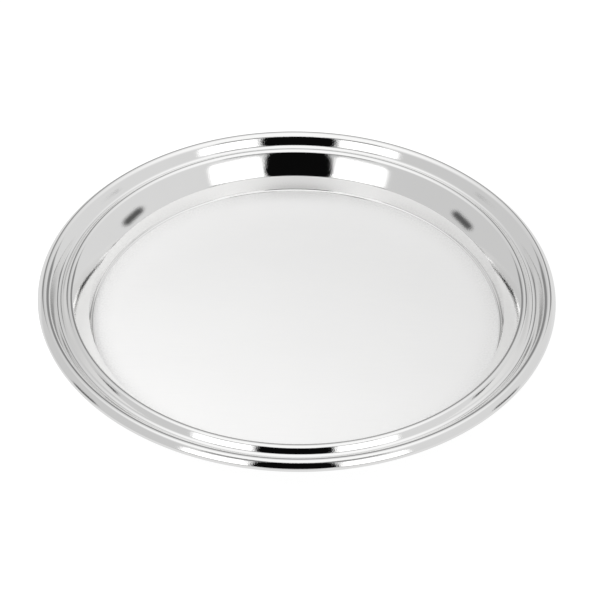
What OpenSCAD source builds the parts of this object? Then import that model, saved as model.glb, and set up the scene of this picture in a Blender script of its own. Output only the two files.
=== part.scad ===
// Round salver: a spun dish with a satin floor, a steep riser and a sloping
// cove, edged by two convex mouldings over a flat flange. Millimetres, +Z up.
// The origin is on the axis, at the flat underside of the floor.

/* [Overall] */
// Outside diameter of the rim
rim_d = 300; // [280:1:340]
// Thickness of the dish's sheet
sheet_t = 1.2; // [1.0:0.1:1.3]

/* [Floor and wall] */
// Distance from the rim's edge in to the foot of the riser
foot_in = 30.0; // [29.6:0.1:30.4]
// Distance from the rim's edge in to the brow between riser and cove
brow_in = 28.8; // [28.5:0.1:29.0]
// Height of the brow above the floor's top
riser_h = 9.7; // [8.8:0.1:10.4]
// Radius of the inside corner between floor and riser
foot_r = 1.2; // [0.8:0.1:1.6]
// Height of the flange's top above the floor's top
flange_h = 17.6; // [17.2:0.1:17.7]
// Radius of the faint rounding along the cove's slope
cove_r = 70; // [60:5:120]

/* [Border] */
// Distance from the rim's edge in to the crest of the inner bead
bead_in = 18.0; // [17.7:0.1:18.4]
// Height of the inner bead's crest above the floor's top
bead_h = 22.7; // [22.4:0.1:23]
// Distance from the rim's edge in to the valley between the beads
valley_in = 12.4; // [12.2:0.1:12.6]
// Height of the valley above the floor's top
valley_h = 18.9; // [18.8:0.1:19.2]
// Distance from the rim's edge in to the crest of the outer moulding
crest_in = 4.0; // [3.9:0.1:4.3]
// Height of the outer moulding's crest above the floor's top
crest_h = 25.5; // [25.2:0.1:25.9]
// Wall of the hollow outer moulding
shell_t = 1.0; // [0.8:0.1:1.1]

/* [Edge wire] */
// Diameter of the stiffening wire inside the outer moulding
wire_d = 3.6; // [3:0.1:3.7]

/* [Hidden] */
$fn = 180;
R = rim_d / 2;
t = sheet_t;

// A section is a chain of circles, [radius from axis, height, bend]. The line
// runs over a circle with a positive bend and under one with a negative bend,
// and joins them with straight tangents, so it is smooth everywhere.
function left(a) = [-sin(a), cos(a)];
function run_a(p, q) =
    let (d = [q[0] - p[0], q[1] - p[1]])
    atan2(d[1], d[0]) + asin(max(-1, min(1, (q[2] - p[2]) / norm(d))));
function bend(k, a, b, n) =
    [for (i = [0:n]) [k[0], k[1]] + k[2] * left(a + (b - a) * i / n)];
function steps(k, a, b) = max(2, ceil(abs(b - a) / 9), ceil(abs((b - a) * k[2]) / 110));
function chain(ks, a_in, a_out) =
    let (m = len(ks),
         a = concat([a_in], [for (i = [0:m - 2]) run_a(ks[i], ks[i + 1])], [a_out]))
    [for (i = [0:m - 1]) each bend(ks[i], a[i], a[i + 1], steps(ks[i], a[i], a[i + 1]))];
// The big circle, r in radius, that the line crosses between circles p and q,
// which both lie just inside it
function over(p, q, r, slack = 0.0006) =
    let (a = r - p[2] + slack, b = r - q[2] + slack,
         v = [q[0] - p[0], q[1] - p[1]], n = norm(v),
         f = (a * a - b * b + n * n) / (2 * n), h = sqrt(a * a - f * f))
    [p[0] + (f * v[0] + h * v[1]) / n, p[1] + (f * v[1] - h * v[0]) / n, r];
// The same circles for a line that lies d below the first one
function sunk(k, d, lo = -100) = [k[0], k[1], max(k[2] - d, lo)];

// Circles of the upper surface, heights over the salver's underside
k_foot   = [R - foot_in - foot_r + 0.1, t + foot_r, -foot_r];
k_brow   = [R - brow_in + 1.2, t + riser_h - 0.4, 1.4];
k_bead_i = [R - bead_in, t + bead_h - 3.0, 3.0];
k_bead_o = [R - bead_in, t + bead_h - 2.45, 2.45];
k_vall   = [R - valley_in, t + valley_h + 2.7, -2.7];
k_cr_i   = [R - crest_in, t + crest_h - 4.2, 4.2];
k_cr_o   = [R - crest_in, t + crest_h - 2.1, 2.1];
k_lip    = [R - 2.1, t + crest_h - 4.1, 2.1];
k_hem    = [R - 6.4, t + flange_h - t - 0.3, 0.5];

fl_top = t + flange_h;        // top of the flange
fl_bot = flange_h;            // underside of the flange
hem_b  = k_hem[1] - 0.5;      // underside of the turned-under hem
k_cove = over(k_brow, k_bead_i, cove_r);
join_r = k_cove[0] - sqrt(cove_r * cove_r - pow(fl_top - k_cove[1], 2));
cove_a = atan2(k_cove[0] - join_r, fl_top - k_cove[1]);   // slope at the joint
fl_r   = R - 7.0;             // edge of the flange
hem_r  = R - 12.0;            // inner edge of the hem
strip_r = R - 18.5;           // inner edge of the strip under the flange

module spun(pts) { rotate_extrude() polygon(pts); }

// One sheet: floor, riser, cove and flange, with an even thickness
module dish_body() {
    // the underside's last bend, where cove turns into flange
    turn_r = join_r + t * sin(cove_a) - (t - t * cos(cove_a)) / tan(cove_a)
             + 0.6 * tan(cove_a / 2);
    top = concat([[0, t]], chain([k_foot, k_brow, k_cove], 0, cove_a),
                 [[fl_r, fl_top]]);
    under = concat([[0, 0]],
                   chain([[k_foot[0], k_foot[1], -foot_r - t],
                          [k_brow[0], k_brow[1], 0.15],
                          [turn_r, fl_bot - 0.6, 0.6]], 0, 0),
                   [[fl_r, fl_bot]]);
    color([0.86, 0.86, 0.87])
    spun(concat(under, [for (i = [len(top) - 1:-1:0]) top[i]]));
}

// Drawn ring, flat below, that carries the cove on over the inner crest
module inner_bead_moulding() {
    color([0.9, 0.9, 0.91])
    spun(concat(chain([k_cove, k_bead_i, k_bead_o, k_vall], cove_a, 0),
                [[k_vall[0], fl_top]]));
}

// Hollow drawn ring: up from the valley, over the outer crest, round the lip
// and back under the flange's edge
module outer_bead_moulding() {
    outer = concat([[k_vall[0], fl_top]],
                   chain([k_vall, k_cr_i, k_cr_o, k_lip, k_hem], 0, -180),
                   [[hem_r, hem_b], [hem_r, fl_bot], [fl_r, fl_bot], [fl_r, fl_top]]);
    side_a = run_a(k_vall, k_cr_i);
    wall_a = run_a(k_lip, k_hem);
    wall_p = [k_lip[0], k_lip[1]] + (k_lip[2] - shell_t) * left(wall_a);
    wall_r = wall_p[0] + (fl_top - wall_p[1]) / tan(wall_a);
    in_a = 33;
    in_p = [k_vall[0], k_vall[1]] - (2.7 + shell_t) * left(in_a);
    cavity = concat([[in_p[0], fl_top]],
                    chain([sunk(k_vall, shell_t), sunk(k_cr_i, shell_t),
                           sunk(k_cr_o, shell_t), sunk(k_lip, shell_t)], in_a, wall_a),
                    [[wall_r, fl_top]]);
    color([0.9, 0.9, 0.91])
    spun(concat(outer, [for (i = [len(cavity) - 1:-1:0]) cavity[i]]));
}

// Round wire lying on the flange inside the outer moulding
module rim_core_wire() {
    color([0.72, 0.56, 0.3])
    rotate_extrude() translate([R - 6.9, fl_top + wire_d / 2])
        circle(d = wire_d, $fn = 32);
}

// Flat strip under the flange, inside the turned-under hem
module under_hem_strip() {
    color([0.84, 0.84, 0.85])
    spun([[strip_r, hem_b], [strip_r, fl_bot], [hem_r, fl_bot], [hem_r, hem_b]]);
}

// Fillet of solder in the corner between the strip and the flange
module rim_solder_seam() {
    color([0.7, 0.7, 0.68])
    spun([[strip_r, fl_bot], [strip_r, hem_b + 0.1],
          [strip_r - 0.3, hem_b + 0.35], [strip_r - 0.7, hem_b + 0.62],
          [strip_r - 1.1, fl_bot]]);
}

dish_body();
inner_bead_moulding();
outer_bead_moulding();
rim_core_wire();
under_hem_strip();
rim_solder_seam();
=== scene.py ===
import math

import bpy
import numpy as np
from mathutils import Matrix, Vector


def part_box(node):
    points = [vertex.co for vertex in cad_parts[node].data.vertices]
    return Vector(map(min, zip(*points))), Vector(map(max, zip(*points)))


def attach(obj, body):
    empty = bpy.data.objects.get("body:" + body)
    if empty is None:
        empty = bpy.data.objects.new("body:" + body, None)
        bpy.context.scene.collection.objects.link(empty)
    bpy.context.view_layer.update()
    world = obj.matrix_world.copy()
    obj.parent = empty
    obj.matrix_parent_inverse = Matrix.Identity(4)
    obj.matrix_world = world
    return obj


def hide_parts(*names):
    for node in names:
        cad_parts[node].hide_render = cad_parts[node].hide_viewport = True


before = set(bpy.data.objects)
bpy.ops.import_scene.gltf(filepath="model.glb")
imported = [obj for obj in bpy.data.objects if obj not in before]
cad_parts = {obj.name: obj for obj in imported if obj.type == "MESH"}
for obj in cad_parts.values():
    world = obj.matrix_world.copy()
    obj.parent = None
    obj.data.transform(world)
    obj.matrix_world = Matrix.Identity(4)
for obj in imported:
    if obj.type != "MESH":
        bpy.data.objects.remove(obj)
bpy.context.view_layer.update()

MM = 0.001
lo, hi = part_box("outer_bead_moulding")
R = max(hi.x, hi.y, -lo.x, -lo.y) / MM          # rim radius, mm
R = round(R * 2) / 2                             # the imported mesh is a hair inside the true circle
dlo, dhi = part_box("dish_body")
T = 1.2                                          # sheet thickness, mm
CREST = hi.z / MM - T                            # outer crest above the floor's top

# ---------------------------------------------------------------- the section
# The salver is a body of revolution. Its section is a chain of circles
# [radius, height over the floor's top, bend]: the line runs over a circle with a
# positive bend and under one with a negative bend, and joins them by tangents.
K_FOOT = (R - 31.1, 1.2, -1.2)
K_BROW = (R - 27.6, 9.3, 1.4)
K_BEAD_I = (R - 18.0, 19.7, 3.0)
COVE_R = 70.0                                    # the slope between brow and inner bead is faintly rounded
K_BEAD_O = (R - 18.0, 20.25, 2.45)
K_VALL = (R - 12.4, 21.6, -2.7)
K_CR_I = (R - 4.0, CREST - 4.2, 4.2)
K_CR_O = (R - 4.0, CREST - 2.1, 2.1)
K_LIP = (R - 2.1, CREST - 4.1, 2.1)
K_HEM = (R - 6.4, 16.1, 0.5)
FL = 17.6                                        # top of the flange
FB = FL - T
HB = 15.6
FL_R, HEM_R, STRIP_R = R - 7.0, R - 12.0, R - 18.5


def left(a):
    return np.array([-math.sin(a), math.cos(a)])


def run_a(p, q):
    dx, dy = q[0] - p[0], q[1] - p[1]
    return math.atan2(dy, dx) + math.asin(max(-1, min(1, (q[2] - p[2]) / math.hypot(dx, dy))))


def chain(ks, a_in, a_out, step=math.radians(3.0), line=0.8):
    a = [a_in] + [run_a(ks[i], ks[i + 1]) for i in range(len(ks) - 1)] + [a_out]
    pts = []
    for i, k in enumerate(ks):
        n = max(2, math.ceil(abs(a[i + 1] - a[i]) / step), math.ceil(abs((a[i + 1] - a[i]) * k[2]) / line))
        arc = [np.array(k[:2]) + k[2] * left(a[i] + (a[i + 1] - a[i]) * j / n) for j in range(n + 1)]
        if pts:
            p, q = pts[-1], arc[0]
            m = int(np.linalg.norm(q - p) / line)
            pts += [p + (q - p) * j / m for j in range(1, m)]
        for p in arc:
            if not pts or np.linalg.norm(p - pts[-1]) > 1e-6:
                pts.append(p)
    return pts


def over(p, q, r, slack=0.0006):
    """The big circle of radius r that the run crosses between circles p and q, both inside it."""
    dp, dq = r - p[2] + slack, r - q[2] + slack
    dx, dy = q[0] - p[0], q[1] - p[1]
    d = math.hypot(dx, dy)
    a = (dp * dp - dq * dq + d * d) / (2 * d)
    h = math.sqrt(dp * dp - a * a)
    return (p[0] + (a * dx + h * dy) / d, p[1] + (a * dy - h * dx) / d, r)


def eased(pts, spread):
    """The same run with its changes of curvature eased over about spread mm, both ends kept."""
    p = np.array(pts)
    at = np.concatenate([[0], np.cumsum(np.linalg.norm(np.diff(p, axis=0), axis=1))])
    m = int(at[-1] / 0.1)
    u = np.linspace(0, at[-1], m + 1)
    q = np.stack([np.interp(u, at, p[:, i]) for i in (0, 1)], 1)
    out = q.copy()
    for i in range(1, m):
        w = min(spread, u[i] / 3, (at[-1] - u[i]) / 3) + 1e-6
        g = np.exp(-0.5 * ((u - u[i]) / w) ** 2)
        out[i] = (g[:, None] * q).sum(0) / g.sum()
    keep, last = [out[0]], 0
    for i in range(1, m):
        a = math.atan2(*(out[i] - keep[-1])[::-1]) - math.atan2(*(out[i + 1] - out[i])[::-1])
        if np.linalg.norm(out[i] - keep[-1]) > 0.6 or abs((a + math.pi) % (2 * math.pi) - math.pi) > math.radians(2.2):
            keep.append(out[i])
    return keep + [out[-1]]


def line(p, q, n):
    p, q = np.array(p, float), np.array(q, float)
    return [p + (q - p) * i / n for i in range(n + 1)]


def clean(pts):
    out = []
    for p in pts:
        if not out or np.linalg.norm(np.array(p) - out[-1]) > 1e-5:
            out.append(np.array(p, float))
    return out


# ---------------------------------------------------------------- revolved mesh
SEG = 512


def spin(name, pts, mat, seg=SEG, sharp=24):
    """A closed ring or disc from a closed section, (r, z over the floor's top) in mm."""
    pts = clean(pts)
    if np.linalg.norm(pts[0] - pts[-1]) < 1e-5:
        pts.pop()
    n = len(pts)
    ca = np.cos(np.arange(seg) * 2 * math.pi / seg)
    sa = np.sin(np.arange(seg) * 2 * math.pi / seg)
    verts, index = [], []
    for r, z in pts:
        z = (z + T) * MM
        if r < 1e-6:
            index.append([len(verts)] * seg)
            verts.append((0.0, 0.0, z))
        else:
            index.append(list(range(len(verts), len(verts) + seg)))
            verts += [(r * MM * c, r * MM * s, z) for c, s in zip(ca, sa)]
    faces = []
    for i in range(n):
        a, b = index[i], index[(i + 1) % n]
        if a[0] == a[1] and b[0] == b[1]:
            continue
        for j in range(seg):
            k = (j + 1) % seg
            if a[0] == a[1]:
                faces.append((a[j], b[k], b[j]))
            elif b[0] == b[1]:
                faces.append((a[j], a[k], b[j]))
            else:
                faces.append((a[j], a[k], b[k], b[j]))
    me = bpy.data.meshes.new(name)
    me.from_pydata(verts, [], faces)
    me.validate()
    # outward normals: the section is given anticlockwise, seen with r to the right
    area = sum(pts[i][0] * pts[(i + 1) % n][1] - pts[(i + 1) % n][0] * pts[i][1] for i in range(n))
    if area > 0:
        me.flip_normals()
    for p in me.polygons:
        p.use_smooth = True
    me.set_sharp_from_angle(angle=math.radians(sharp))
    me.materials.append(mat)
    ob = bpy.data.objects.new(name, me)
    bpy.context.scene.collection.objects.link(ob)
    return ob


# ---------------------------------------------------------------- node helpers
class Net:
    def __init__(self, tree):
        self.t = tree
        self.x = 0

    def add(self, kind, **props):
        n = self.t.nodes.new(kind)
        self.x += 40
        n.location = (self.x, 0)
        for k, v in props.items():
            setattr(n, k, v)
        return n

    def put(self, sock, v):
        if v is None:
            return
        if isinstance(v, bpy.types.NodeSocket):
            self.t.links.new(v, sock)
        else:
            sock.default_value = v

    def math(self, op, a, b=None, c=None, clamp=False):
        n = self.add("ShaderNodeMath", operation=op, use_clamp=clamp)
        for s, v in zip(n.inputs, (a, b, c)):
            self.put(s, v)
        return n.outputs[0]

    def mul(self, *v):
        out = v[0]
        for w in v[1:]:
            out = self.math("MULTIPLY", out, w)
        return out

    def plus(self, a, b):
        return self.math("ADD", a, b)

    def minus(self, a, b):
        return self.math("SUBTRACT", a, b)

    def step(self, x, a, b, lo_=0.0, hi_=1.0):
        """Smoothly from lo_ at x = a to hi_ at x = b (a may be over b)."""
        n = self.add("ShaderNodeMapRange", interpolation_type="SMOOTHSTEP", clamp=True)
        if isinstance(a, (int, float)) and isinstance(b, (int, float)) and a > b:
            a, b, lo_, hi_ = b, a, hi_, lo_
        for i, v in enumerate((x, a, b, lo_, hi_)):
            self.put(n.inputs[i], v)
        return n.outputs[0]

    def band(self, x, a, b, soft):
        return self.mul(self.step(x, a - soft, a + soft), self.step(x, b + soft, b - soft))

    def mix(self, f, a, b):
        n = self.add("ShaderNodeMix", data_type="FLOAT", clamp_factor=True)
        self.put(n.inputs[0], f)
        self.put(n.inputs[2], a)
        self.put(n.inputs[3], b)
        return n.outputs[0]

    def vec(self, x=0.0, y=0.0, z=0.0):
        n = self.add("ShaderNodeCombineXYZ")
        for s, v in zip(n.inputs, (x, y, z)):
            self.put(s, v)
        return n.outputs[0]

    def noise(self, vector, scale, detail=2.0, rough=0.5, dist=0.0, dims="3D"):
        n = self.add("ShaderNodeTexNoise", noise_dimensions=dims)
        self.put(n.inputs["Vector"], vector)
        self.put(n.inputs["Scale"], scale)
        self.put(n.inputs["Detail"], detail)
        self.put(n.inputs["Roughness"], rough)
        self.put(n.inputs["Distortion"], dist)
        return n.outputs["Fac"] if "Fac" in n.outputs else n.outputs[0]

    def bump(self, height, distance, strength=1.0, normal=None):
        n = self.add("ShaderNodeBump")
        self.put(n.inputs["Strength"], strength)
        self.put(n.inputs["Distance"], distance)
        self.put(n.inputs["Height"], height)
        if normal is not None:
            self.put(n.inputs["Normal"], normal)
        return n.outputs[0]


def new_material(name):
    m = bpy.data.materials.new(name)
    m.use_nodes = True
    m.node_tree.nodes.clear()
    net = Net(m.node_tree)
    out = net.add("ShaderNodeOutputMaterial")
    b = net.add("ShaderNodeBsdfPrincipled")
    m.node_tree.links.new(b.outputs[0], out.inputs[0])
    return m, net, b


def object_xyz(net):
    co = net.add("ShaderNodeTexCoord").outputs["Object"]
    s = net.add("ShaderNodeSeparateXYZ")
    net.put(s.inputs[0], co)
    return co, s.outputs[0], s.outputs[1], s.outputs[2]


def silver_nodes(net, co, x, y, z):
    """Hand-polished silver: distance from the axis, faint ring-wise polishing marks,
    the slight unevenness of the polished sheet, and fine pitting that breaks up
    the edges of dark reflections."""
    r = net.math("SQRT", net.plus(net.mul(x, x), net.mul(y, y)))
    rings = net.noise(net.vec(net.mul(r, 1800.0), net.mul(z, 1800.0), net.mul(x, 6.0)), 1.0, 2.0, 0.5)
    soft = net.noise(co, 45.0, 2.0, 0.5)
    pits = net.noise(co, 1500.0, 2.0, 0.65)
    h = net.plus(net.mul(rings, 0.12), net.plus(net.mul(soft, 1.6), net.mul(pits, 0.5)))
    return r, soft, pits, net.bump(h, 0.00003, 0.75)


def shade(net, b, tint, warm=(1.0, 0.998, 0.994)):
    col = net.add("ShaderNodeCombineColor")
    for s, k in zip(col.inputs, warm):
        net.put(s, net.mul(tint, k))
    net.put(b.inputs["Base Color"], col.outputs[0])


def polished(name="polished_silver"):
    m, net, b = new_material(name)
    co, x, y, z = object_xyz(net)
    r, soft, pits, normal = silver_nodes(net, co, x, y, z)
    net.put(b.inputs["Normal"], normal)
    shade(net, b, net.mix(soft, 0.94, 0.965))
    b.inputs["Metallic"].default_value = 1.0
    net.put(b.inputs["Roughness"], net.plus(0.004, net.mul(pits, 0.016)))
    return m


def dish_silver(name="satin_and_polished_silver"):
    """Straight-brushed satin inside the foot of the riser and under the floor,
    mirror polish elsewhere."""
    m, net, b = new_material(name)
    co, x, y, z = object_xyz(net)
    r, soft, pits, n_pol = silver_nodes(net, co, x, y, z)
    wob = net.mul(net.minus(net.noise(net.vec(net.mul(x, 22.0), net.mul(y, 22.0), 3.0), 1.0, 2.0), 0.5), 0.0012)
    wob = net.plus(wob, net.mul(net.minus(pits, 0.5), 0.0006))
    edge = net.plus(r, wob)
    foot = K_FOOT[0] * MM
    satin = net.mul(net.step(edge, foot - 0.0002, foot - 0.0007), net.step(z, 0.0021, 0.0018))
    # fine straight lines along X, broken up, over a slow cloudiness, and a
    # thinner, grainier finish near the foot of the riser, whose colour there is
    # also darkened in grains as painted shade
    warp = net.mul(net.minus(net.noise(co, 14.0, 1.0), 0.5), 0.0006)
    lines = net.noise(net.vec(net.mul(x, 38.0), net.mul(net.plus(y, warp), 4200.0), 0.0), 1.0, 3.0, 0.6)
    fine = net.noise(net.vec(net.mul(x, 160.0), net.mul(y, 9000.0), 7.0), 1.0, 2.0, 0.6)
    cloud = net.noise(net.vec(net.mul(x, 9.0), net.mul(y, 16.0), 1.0), 1.0, 3.0, 0.55)
    grains = net.noise(net.vec(net.mul(x, 950.0), net.mul(y, 950.0), 5.0), 1.0, 2.0, 0.7)
    foot_grain_and_shade = net.step(edge, foot - 0.013, foot - 0.002)
    h_sat = net.plus(net.mul(lines, 0.8), net.plus(net.mul(fine, 0.5), net.mul(net.mul(grains, foot_grain_and_shade), 1.2)))
    n_sat = net.bump(h_sat, 0.00003, 0.5)
    nm = net.add("ShaderNodeMix", data_type="VECTOR")
    net.put(nm.inputs[0], satin)
    net.put(nm.inputs[4], n_pol)
    net.put(nm.inputs[5], n_sat)
    net.put(b.inputs["Normal"], nm.outputs[1])
    # painted shade: near the foot of the riser the satin's colour is darkened, in grains, on top of its random
    # cloudiness and lines
    mottle_and_foot_shade = net.plus(0.86, net.plus(net.mul(net.minus(cloud, 0.5), 0.035),
                                      net.plus(net.mul(net.minus(lines, 0.5), 0.05),
                                               net.mul(net.mul(net.minus(grains, 0.6), foot_grain_and_shade), 0.30))))
    shade(net, b, net.mix(satin, net.mix(soft, 0.94, 0.965), mottle_and_foot_shade))
    net.put(b.inputs["Metallic"], net.mix(satin, 1.0, 0.6))
    rough = net.plus(0.55, net.plus(net.mul(net.minus(lines, 0.5), 0.10), net.mul(net.minus(cloud, 0.5), 0.06)))
    rough = net.mix(foot_grain_and_shade, rough, net.plus(0.42, net.mul(net.minus(grains, 0.5), 0.35)))
    net.put(b.inputs["Roughness"], net.mix(satin, net.plus(0.004, net.mul(pits, 0.016)), rough))
    return m


def solder(name="solder"):
    m, net, b = new_material(name)
    co, x, y, z = object_xyz(net)
    lump = net.noise(co, 700.0, 3.0, 0.6)
    net.put(b.inputs["Normal"], net.bump(lump, 0.00012, 0.6))
    col = net.add("ShaderNodeCombineColor")
    v = net.mix(lump, 0.50, 0.66)
    for s, k in zip(col.inputs, (1.0, 0.99, 0.96)):
        net.put(s, net.mul(v, k))
    net.put(b.inputs["Base Color"], col.outputs[0])
    b.inputs["Metallic"].default_value = 1.0
    net.put(b.inputs["Roughness"], net.mix(lump, 0.30, 0.48))
    return m


def wire_brass(name="brass_wire"):
    m, net, b = new_material(name)
    co, x, y, z = object_xyz(net)
    r = net.math("SQRT", net.plus(net.mul(x, x), net.mul(y, y)))
    draw = net.noise(net.vec(net.mul(r, 6000.0), net.mul(z, 6000.0), net.mul(x, 10.0)), 1.0, 2.0)
    net.put(b.inputs["Normal"], net.bump(draw, 0.00002, 0.4))
    col = net.add("ShaderNodeCombineColor")
    v = net.mix(draw, 0.85, 1.0)
    for s, k in zip(col.inputs, (0.78, 0.60, 0.30)):
        net.put(s, net.mul(v, k))
    net.put(b.inputs["Base Color"], col.outputs[0])
    b.inputs["Metallic"].default_value = 1.0
    net.put(b.inputs["Roughness"], net.mix(draw, 0.22, 0.34))
    return m


M_DISH = dish_silver()
M_POL = polished()
M_SOLDER = solder()
M_WIRE = wire_brass()

# ---------------------------------------------------------------- the pieces
K_COVE = over(K_BROW, K_BEAD_I, COVE_R)
join_r = K_COVE[0] - math.sqrt(COVE_R ** 2 - (FL - K_COVE[1]) ** 2)
cove_a = math.atan2(K_COVE[0] - join_r, FL - K_COVE[1])
turn_r = join_r + T * math.sin(cove_a) - (T - T * math.cos(cove_a)) / math.tan(cove_a) + 0.6 * math.tan(cove_a / 2)

disc = [20, 40, 60, 75, 88, 98, 106, 112, K_FOOT[0] - 2, K_FOOT[0] - 0.6]
top = [(0, 0)] + [(r, 0) for r in disc] + chain([K_FOOT, K_BROW, K_COVE], 0, cove_a)
top += line((join_r, FL), (FL_R, FL), 8)[1:]
under = [(0, -T)] + [(r, -T) for r in disc] + chain(
    [(K_FOOT[0], K_FOOT[1], K_FOOT[2] - T), (K_BROW[0], K_BROW[1], 0.15), (turn_r, FB - 0.6, 0.6)], 0, 0)
under += line(under[-1], (FL_R, FB), 8)[1:]
dish = spin("salver_dish", under + top[::-1], M_DISH)
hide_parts("dish_body")

bead_top = chain([K_COVE, K_BEAD_I, K_BEAD_O, K_VALL], cove_a, 0)
bead = spin("inner_bead", bead_top + [(K_VALL[0], FL)]
            + line((K_VALL[0], FL), (join_r, FL), 5)[1:], M_POL)
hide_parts("inner_bead_moulding")

W = 1.0


def sunk(k):
    return (k[0], k[1], k[2] - W)


wall_a = run_a(K_LIP, K_HEM)
wall_p = np.array(K_LIP[:2]) + (K_LIP[2] - W) * left(wall_a)
wall_r = wall_p[0] + (FL - wall_p[1]) / math.tan(wall_a)
in_a = math.radians(33)
in_p = np.array(K_VALL[:2]) - (2.7 + W) * left(in_a)
outer = [(K_VALL[0], FL)] + eased(chain([K_VALL, K_CR_I, K_CR_O, K_LIP], 0, -math.pi / 2), 0.6)
outer += chain([K_LIP, K_HEM], -math.pi / 2, -math.pi)[1:]
outer += [(HEM_R, HB), (HEM_R, FB), (FL_R, FB), (FL_R, FL)]
cavity = [(in_p[0], FL)] + chain([sunk(K_VALL), sunk(K_CR_I), sunk(K_CR_O), sunk(K_LIP)], in_a, wall_a,
                                 step=math.radians(8), line=2.0) + [(wall_r, FL)]
rim = spin("outer_bead", outer + cavity[::-1], M_POL)
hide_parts("outer_bead_moulding")

strip = spin("hem_strip", [(STRIP_R + 0.15, HB), (STRIP_R, HB + 0.15), (STRIP_R, FB), (HEM_R, FB), (HEM_R, HB + 0.1), (HEM_R - 0.1, HB)], M_POL)
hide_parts("under_hem_strip")

seam = spin("solder_fillet", [(STRIP_R, FB), (STRIP_R, HB + 0.1), (STRIP_R - 0.15, HB + 0.2), (STRIP_R - 0.3, HB + 0.35),
                              (STRIP_R - 0.5, HB + 0.5), (STRIP_R - 0.7, HB + 0.62), (STRIP_R - 1.1, FB)], M_SOLDER, sharp=50)
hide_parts("rim_solder_seam")

for ob in (dish, bead, rim, strip, seam):
    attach(ob, "root")

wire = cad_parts["rim_core_wire"]
wire.data.materials.clear()
wire.data.materials.append(M_WIRE)

# ---------------------------------------------------------------- the stage
gm = bpy.data.meshes.new("floor")
gm.from_pydata([(-4, -4, 0), (4, -4, 0), (4, 4, 0), (-4, 4, 0)], [], [(0, 1, 2, 3)])
floor = bpy.data.objects.new("floor", gm)
bpy.context.scene.collection.objects.link(floor)
floor.location.z = -0.0003
fm = bpy.data.materials.new("stage_floor")
fm.use_nodes = True
fm.node_tree.nodes.clear()
fn = Net(fm.node_tree)
fo = fn.add("ShaderNodeOutputMaterial")
fd = fn.add("ShaderNodeBsdfDiffuse")
fd.inputs["Color"].default_value = (0.16, 0.16, 0.16, 1)
fe = fn.add("ShaderNodeEmission")
fe.inputs["Strength"].default_value = 0.92
fa = fn.add("ShaderNodeAddShader")
fn.put(fa.inputs[0], fd.outputs[0])
fn.put(fa.inputs[1], fe.outputs[0])
ft = fn.add("ShaderNodeBsdfTransparent")
fx = fn.add("ShaderNodeMixShader")
fn.put(fx.inputs[0], fn.add("ShaderNodeNewGeometry").outputs["Backfacing"])
fn.put(fx.inputs[1], fa.outputs[0])
fn.put(fx.inputs[2], ft.outputs[0])
fn.put(fo.inputs[0], fx.outputs[0])
gm.materials.append(fm)
floor.visible_glossy = False

# A light tent, as a sky: pale sides and a white top, two white panels in front
# with a dark opening between them, and the dark gaps where the cloths meet.
# Each is a rounded rectangle on the sky in degrees: which way it is measured
# ("front" from the front, "back" from the back, "both" sides alike), its middle
# (across, up), half width, half height, corner radius, softness, brightness, tilt.
TENT = [
    ("back", 0, 22, 45, 12, 3, 4, 0.25, 0),          # wide grey flag behind
    ("both", 33, 31, 14, 11, 3, 2, 1.4, -11),        # the two white panels
    ("both", 29, 50, 16, 4, 4, 3, 0.15, 0),          # dark frame above them
    ("both", 31, 17, 15, 3, 3, 2, 0.0, 0),           # and below them
    ("front", 0, 35, 18, 16, 10, 0.5, 0.003, 0),     # the opening the camera looks through
    ("both", 91, 15, 7, 3, 3, 2, 0.1, -28),          # the gaps at the two sides
    ("front", 0, 5, 11, 5, 2, 1, 0.4, 0),            # dark strip low in front
]
LEFT, RIGHT, TOP, TOP_EL, TOP_SOFT, LOW_L, LOW_R, LOW_C = 0.6, 0.7, 1.0, 55.0, 17.0, 0.75, 0.75, 0.75

world = bpy.data.worlds.new("tent")
bpy.context.scene.world = world
world.use_nodes = True
world.node_tree.nodes.clear()
w = Net(world.node_tree)
wo = w.add("ShaderNodeOutputWorld")
bg = w.add("ShaderNodeBackground")
w.put(wo.inputs[0], bg.outputs[0])
d = w.add("ShaderNodeSeparateXYZ")
w.put(d.inputs[0], w.add("ShaderNodeTexCoord").outputs["Generated"])
dx, dy, dz = d.outputs
DEG = 180 / math.pi
az = w.mul(w.math("ARCTAN2", dx, w.mul(dy, -1.0)), DEG)
el = w.mul(w.math("ARCSINE", dz), DEG)
behind = w.step(w.math("ABSOLUTE", az), 168.0, 180.0)
side = w.mix(behind, w.step(az, -70.0, 70.0, LEFT, RIGHT), (LEFT + RIGHT) / 2)
v = w.mix(w.step(el, TOP_EL - TOP_SOFT, TOP_EL + TOP_SOFT), side, TOP)
low = w.mix(w.math("GREATER_THAN", az, 0.0), LOW_L, LOW_R)
low = w.mix(w.step(w.math("ABSOLUTE", az), 35.0, 95.0), LOW_C, low)
low = w.mix(w.step(w.math("ABSOLUTE", az), 130.0, 180.0), low, (LOW_L + LOW_R) / 2)
v = w.mix(w.step(el, 3.0, -3.0), v, low)
across = {
    "front": az,
    "both": w.math("ABSOLUTE", az),
    "back": w.mul(w.math("ARCTAN2", w.mul(dx, -1.0), dy), DEG),
}
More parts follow.
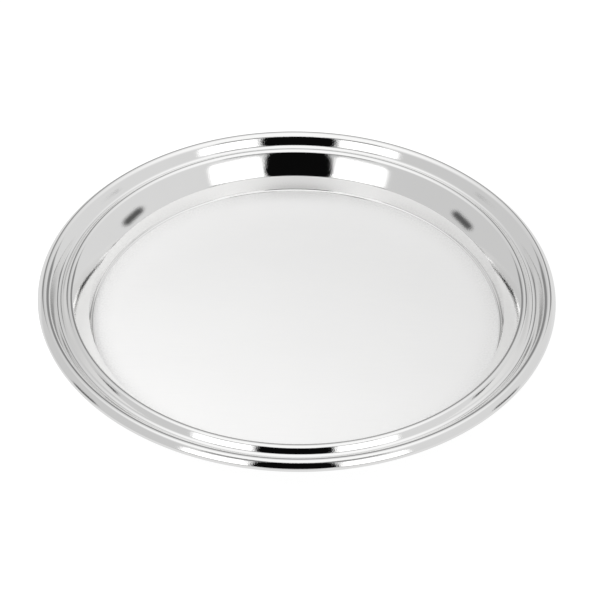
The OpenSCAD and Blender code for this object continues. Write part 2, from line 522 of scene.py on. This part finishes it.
for way, cx, cy, hx, hy, rad, soft, bright, tilt in TENT:
    c, s = math.cos(math.radians(tilt)), math.sin(math.radians(tilt))
    px, py = w.minus(across[way], cx), w.minus(el, cy)
    rad = min(rad, hx, hy)
    qx = w.minus(w.math("ABSOLUTE", w.plus(w.mul(px, c), w.mul(py, s))), hx - rad)
    qy = w.minus(w.math("ABSOLUTE", w.minus(w.mul(py, c), w.mul(px, s))), hy - rad)
    ox, oy = w.math("MAXIMUM", qx, 0.0), w.math("MAXIMUM", qy, 0.0)
    far = w.math("SQRT", w.plus(w.mul(ox, ox), w.mul(oy, oy)))
    far = w.plus(far, w.math("MINIMUM", w.math("MAXIMUM", qx, qy), 0.0))
    v = w.mix(w.step(far, rad + soft, rad - soft), v, bright)
w.put(bg.inputs["Color"], w.vec(v, v, v))
bg.inputs["Strength"].default_value = 1.0

# a soft overhead light to the front left, which shades the satin floor
lamp_data = bpy.data.lights.new("overhead", "AREA")
lamp_data.shape = "RECTANGLE"
lamp_data.size, lamp_data.size_y = 0.34, 0.30
lamp_data.energy = 3.5
lamp = bpy.data.objects.new("overhead", lamp_data)
bpy.context.scene.collection.objects.link(lamp)
lamp.location = (-0.22, -0.22, 0.46)
lamp.rotation_euler = (math.radians(0), math.radians(-22), 0)
lamp.visible_glossy = False

# ---------------------------------------------------------------- camera
ELEV = math.radians(40.5)
DIST = 9.0 * 0.150
zt = (20.0 + T) * MM
cam_data = bpy.data.cameras.new("camera")
cam = bpy.data.objects.new("camera", cam_data)
bpy.context.scene.collection.objects.link(cam)
cam_data.sensor_width = 36.0
cam_data.lens = 36.0 * (1.72 * 1350.0) / 600.0
cam_data.clip_start = 0.05
cam.location = (0, -DIST * math.cos(ELEV), DIST * math.sin(ELEV) + zt)
ROLL = math.radians(0.716)
cam.rotation_mode = "XYZ"
from mathutils import Euler, Matrix
cam.matrix_world = (Matrix.Translation(cam.location)
                    @ Euler((math.pi / 2 - ELEV, 0, 0)).to_matrix().to_4x4()
                    @ Matrix.Rotation(ROLL, 4, "Z"))
cam_data.shift_x = (300 - 296.85) / 600
cam_data.shift_y = -(300 - 289.65) / 600
bpy.context.scene.camera = cam
bpy.context.scene.view_settings.view_transform = "Standard"
